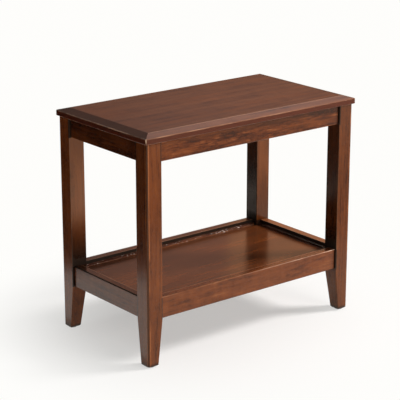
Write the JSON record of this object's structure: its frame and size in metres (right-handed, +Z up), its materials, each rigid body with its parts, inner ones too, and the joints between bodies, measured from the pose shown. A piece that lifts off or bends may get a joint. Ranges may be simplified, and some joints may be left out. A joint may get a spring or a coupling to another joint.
{
  "type": "end table with shelf",
  "caption": "Free-standing end table: a bevel-edged rectangular top on tapered square legs, joined by aprons above and by rails that frame a recessed low shelf.",
  "frame": {"origin": "on the floor, under the middle of the table", "axes": "+X along the length, +Y to the back, +Z up"},
  "size_m": [0.61, 0.342, 0.53],
  "materials": {
    "walnut_top": "satin lacquer",
    "walnut_frame": "satin lacquer",
    "walnut_shelf": "satin lacquer",
    "walnut_bead": "satin lacquer",
    "plain_wood": "thin stain",
    "zinc_steel": "zinc plated",
    "nylon": "matte"
  },
  "bodies": {
    "root": {"top_board": "walnut_top", "shelf_panel": "walnut_shelf", "apron_front": "walnut_frame", "rail_front": "walnut_frame", "shelf_bead_front": "walnut_bead", "shelf_cleat_front": "plain_wood", "apron_right": "walnut_frame", "rail_right": "walnut_frame", "shelf_bead_right": "walnut_bead", "shelf_cleat_right": "plain_wood", "apron_back": "walnut_frame", "rail_back": "walnut_frame", "shelf_bead_back": "walnut_bead", "shelf_cleat_back": "plain_wood", "apron_left": "walnut_frame", "rail_left": "walnut_frame", "shelf_bead_left": "walnut_bead", "shelf_cleat_left": "plain_wood", "leg_front_left": "walnut_frame", "corner_block_front_left": "plain_wood", "foot_glide_front_left": "nylon", "leg_front_right": "walnut_frame", "corner_block_front_right": "plain_wood", "foot_glide_front_right": "nylon", "leg_back_right": "walnut_frame", "corner_block_back_right": "plain_wood", "foot_glide_back_right": "nylon", "leg_back_left": "walnut_frame", "corner_block_back_left": "plain_wood", "foot_glide_back_left": "nylon", "top_screws": "zinc_steel", "block_screws": "zinc_steel", "cleat_screws": "zinc_steel"}
  },
  "joints": []
}
